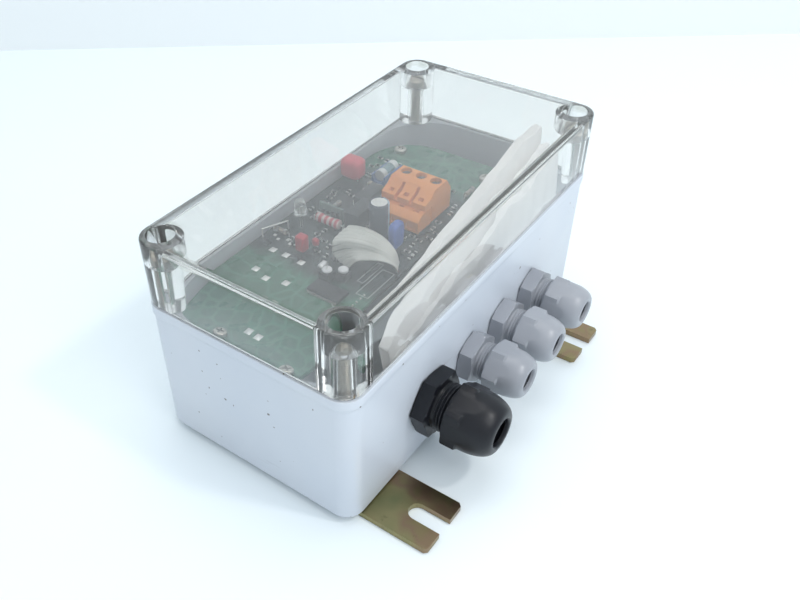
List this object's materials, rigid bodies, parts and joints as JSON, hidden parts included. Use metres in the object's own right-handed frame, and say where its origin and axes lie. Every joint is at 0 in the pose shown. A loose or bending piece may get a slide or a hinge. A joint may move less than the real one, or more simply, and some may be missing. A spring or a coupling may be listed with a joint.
{
  "type": "garage door opener receiver",
  "caption": "Wall-mounted receiver box with a clear screw-down lid, cable glands on one side, steel mounting straps and a populated circuit board inside.",
  "frame": {"origin": "middle of the whole footprint, on the surface the mounting straps lie on", "axes": "+X along the box, +Z from the straps to the lid, the cable glands point to -Y"},
  "size_m": [0.18, 0.1254, 0.0928],
  "materials": {
    "base_shell": "light grey moulded, fine satin",
    "lid_gasket": "dark foam rubber",
    "mounting_strap_left": "yellow zinc plate",
    "mounting_strap_right": "yellow zinc plate",
    "strap_screw_left_1": "zinc plate",
    "strap_screw_left_2": "zinc plate",
    "strap_screw_right_1": "zinc plate",
    "strap_screw_right_2": "zinc plate",
    "black_gland_body": "black nylon",
    "black_gland_lock_nut": "black nylon",
    "black_gland_seal": "black rubber",
    "grey_gland_1_body": "grey nylon",
    "grey_gland_1_lock_nut": "grey nylon",
    "grey_gland_1_seal": "black rubber",
    "grey_gland_2_body": "grey nylon",
    "grey_gland_2_lock_nut": "grey nylon",
    "grey_gland_2_seal": "black rubber",
    "grey_gland_3_body": "grey nylon",
    "grey_gland_3_lock_nut": "grey nylon",
    "grey_gland_3_seal": "black rubber",
    "circuit_board": "green solder mask",
    "board_screw_1": "zinc plate",
    "board_screw_2": "zinc plate",
    "board_screw_3": "zinc plate",
    "board_screw_4": "zinc plate",
    "terminal_header": "orange moulded",
    "red_capacitor": "red moulded case",
    "small_red_capacitor": "red moulded case",
    "electrolytic_capacitor": "dark sleeve",
    "varistor": "blue epoxy dip",
    "indicator_lamp": "clear",
    "relay": "black moulded",
    "driver_chip": "black moulded",
    "microcontroller": "black moulded",
    "receiver_module": "dark green board",
    "crystal_can": "bright can",
    "choke": "red and pale bands",
    "tantalum_capacitor": "red dipped case",
    "learn_button_body": "black moulded",
    "range_trimmer_body": "black moulded",
    "ribbon_jumper": "grey flexible cable",
    "fuse_holder": "blue moulded",
    "instruction_leaflet": "white folded paper",
    "lid_shell": "clear polycarbonate, slightly warm",
    "lid_screw_1": "zinc plate",
    "lid_screw_2": "zinc plate",
    "lid_screw_3": "zinc plate",
    "lid_screw_4": "zinc plate",
    "black_gland_dome_nut": "black nylon",
    "grey_gland_1_dome_nut": "grey nylon",
    "grey_gland_2_dome_nut": "grey nylon",
    "grey_gland_3_dome_nut": "grey nylon",
    "terminal_plug": "orange moulded",
    "terminal_screw_1": "zinc plate",
    "terminal_screw_2": "zinc plate",
    "terminal_screw_3": "zinc plate",
    "learn_button_cap": "pale moulded",
    "range_trimmer_rotor": "pale moulded",
    "fuse": "glass tube with metal ends"
  },
  "bodies": {
    "enclosure": {"base_shell": "base_shell", "lid_gasket": "lid_gasket", "mounting_strap_left": "mounting_strap_left", "mounting_strap_right": "mounting_strap_right", "strap_screw_left_1": "strap_screw_left_1", "strap_screw_left_2": "strap_screw_left_2", "strap_screw_right_1": "strap_screw_right_1", "strap_screw_right_2": "strap_screw_right_2", "black_gland_body": "black_gland_body", "black_gland_lock_nut": "black_gland_lock_nut", "black_gland_seal": "black_gland_seal", "grey_gland_1_body": "grey_gland_1_body", "grey_gland_1_lock_nut": "grey_gland_1_lock_nut", "grey_gland_1_seal": "grey_gland_1_seal", "grey_gland_2_body": "grey_gland_2_body", "grey_gland_2_lock_nut": "grey_gland_2_lock_nut", "grey_gland_2_seal": "grey_gland_2_seal", "grey_gland_3_body": "grey_gland_3_body", "grey_gland_3_lock_nut": "grey_gland_3_lock_nut", "grey_gland_3_seal": "grey_gland_3_seal", "circuit_board": "circuit_board", "board_screw_1": "board_screw_1", "board_screw_2": "board_screw_2", "board_screw_3": "board_screw_3", "board_screw_4": "board_screw_4", "terminal_header": "terminal_header", "red_capacitor": "red_capacitor", "small_red_capacitor": "small_red_capacitor", "electrolytic_capacitor": "electrolytic_capacitor", "varistor": "varistor", "indicator_lamp": "indicator_lamp", "relay": "relay", "driver_chip": "driver_chip", "microcontroller": "microcontroller", "receiver_module": "receiver_module", "crystal_can": "crystal_can", "choke": "choke", "tantalum_capacitor": "tantalum_capacitor", "learn_button_body": "learn_button_body", "range_trimmer_body": "range_trimmer_body", "ribbon_jumper": "ribbon_jumper", "fuse_holder": "fuse_holder", "instruction_leaflet": "instruction_leaflet"},
    "lid": {"lid_shell": "lid_shell"},
    "lid_screw_1": {"lid_screw_1": "lid_screw_1"},
    "lid_screw_2": {"lid_screw_2": "lid_screw_2"},
    "lid_screw_3": {"lid_screw_3": "lid_screw_3"},
    "lid_screw_4": {"lid_screw_4": "lid_screw_4"},
    "black_gland_dome_nut": {"black_gland_dome_nut": "black_gland_dome_nut"},
    "grey_gland_1_dome_nut": {"grey_gland_1_dome_nut": "grey_gland_1_dome_nut"},
    "grey_gland_2_dome_nut": {"grey_gland_2_dome_nut": "grey_gland_2_dome_nut"},
    "grey_gland_3_dome_nut": {"grey_gland_3_dome_nut": "grey_gland_3_dome_nut"},
    "terminal_plug": {"terminal_plug": "terminal_plug"},
    "terminal_screw_1": {"terminal_screw_1": "terminal_screw_1"},
    "terminal_screw_2": {"terminal_screw_2": "terminal_screw_2"},
    "terminal_screw_3": {"terminal_screw_3": "terminal_screw_3"},
    "learn_button": {"learn_button_cap": "learn_button_cap"},
    "range_trimmer": {"range_trimmer_rotor": "range_trimmer_rotor"},
    "fuse": {"fuse": "fuse"}
  },
  "joints": [
    {"name": "lid_lift", "type": "slide", "parent": "enclosure", "child": "lid", "axis": [0, 0, 1], "range_m": [0, 0.07]},
    {"name": "lid_screw_1_turn", "type": "hinge", "parent": "lid", "child": "lid_screw_1", "pos_m": [-0.082, -0.02375, 0.083], "axis": [0, 0, 1], "continuous": true},
    {"name": "lid_screw_2_turn", "type": "hinge", "parent": "lid", "child": "lid_screw_2", "pos_m": [-0.082, 0.05475, 0.083], "axis": [0, 0, 1], "continuous": true},
    {"name": "lid_screw_3_turn", "type": "hinge", "parent": "lid", "child": "lid_screw_3", "pos_m": [0.082, 0.05475, 0.083], "axis": [0, 0, 1], "continuous": true},
    {"name": "lid_screw_4_turn", "type": "hinge", "parent": "lid", "child": "lid_screw_4", "pos_m": [0.082, -0.02375, 0.083], "axis": [0, 0, 1], "continuous": true},
    {"name": "black_gland_nut_turn", "type": "hinge", "parent": "enclosure", "child": "black_gland_dome_nut", "pos_m": [-0.0402, -0.04925, 0.0283], "axis": [0, -1, 0], "continuous": true},
    {"name": "grey_gland_1_nut_turn", "type": "hinge", "parent": "enclosure", "child": "grey_gland_1_dome_nut", "pos_m": [-0.01, -0.04925, 0.0283], "axis": [0, -1, 0], "continuous": true},
    {"name": "grey_gland_2_nut_turn", "type": "hinge", "parent": "enclosure", "child": "grey_gland_2_dome_nut", "pos_m": [0.0151, -0.04925, 0.0283], "axis": [0, -1, 0], "continuous": true},
    {"name": "grey_gland_3_nut_turn", "type": "hinge", "parent": "enclosure", "child": "grey_gland_3_dome_nut", "pos_m": [0.0402, -0.04925, 0.0283], "axis": [0, -1, 0], "continuous": true},
    {"name": "terminal_plug_slide", "type": "slide", "parent": "enclosure", "child": "terminal_plug", "axis": [1, 0, 0], "range_m": [0, 0.009]},
    {"name": "terminal_screw_1_turn", "type": "hinge", "parent": "terminal_plug", "child": "terminal_screw_1", "pos_m": [0.0265, 0.0092, 0.0705], "axis": [0, 0, 1], "continuous": true},
    {"name": "terminal_screw_2_turn", "type": "hinge", "parent": "terminal_plug", "child": "terminal_screw_2", "pos_m": [0.0265, 0.0164, 0.0705], "axis": [0, 0, 1], "continuous": true},
    {"name": "terminal_screw_3_turn", "type": "hinge", "parent": "terminal_plug", "child": "terminal_screw_3", "pos_m": [0.0265, 0.0236, 0.0705], "axis": [0, 0, 1], "continuous": true},
    {"name": "learn_button_press", "type": "slide", "parent": "enclosure", "child": "learn_button", "axis": [0, 0, -1], "range_m": [0, 0.00025], "stiffness_N_per_m": 600},
    {"name": "range_trimmer_turn", "type": "hinge", "parent": "enclosure", "child": "range_trimmer", "pos_m": [-0.0358, 0.0185, 0.0625], "axis": [0, 0, 1], "range_deg": [-135, 135]},
    {"name": "fuse_lift", "type": "slide", "parent": "enclosure", "child": "fuse", "axis": [0, 0, 1], "range_m": [0, 0.015]}
  ]
}
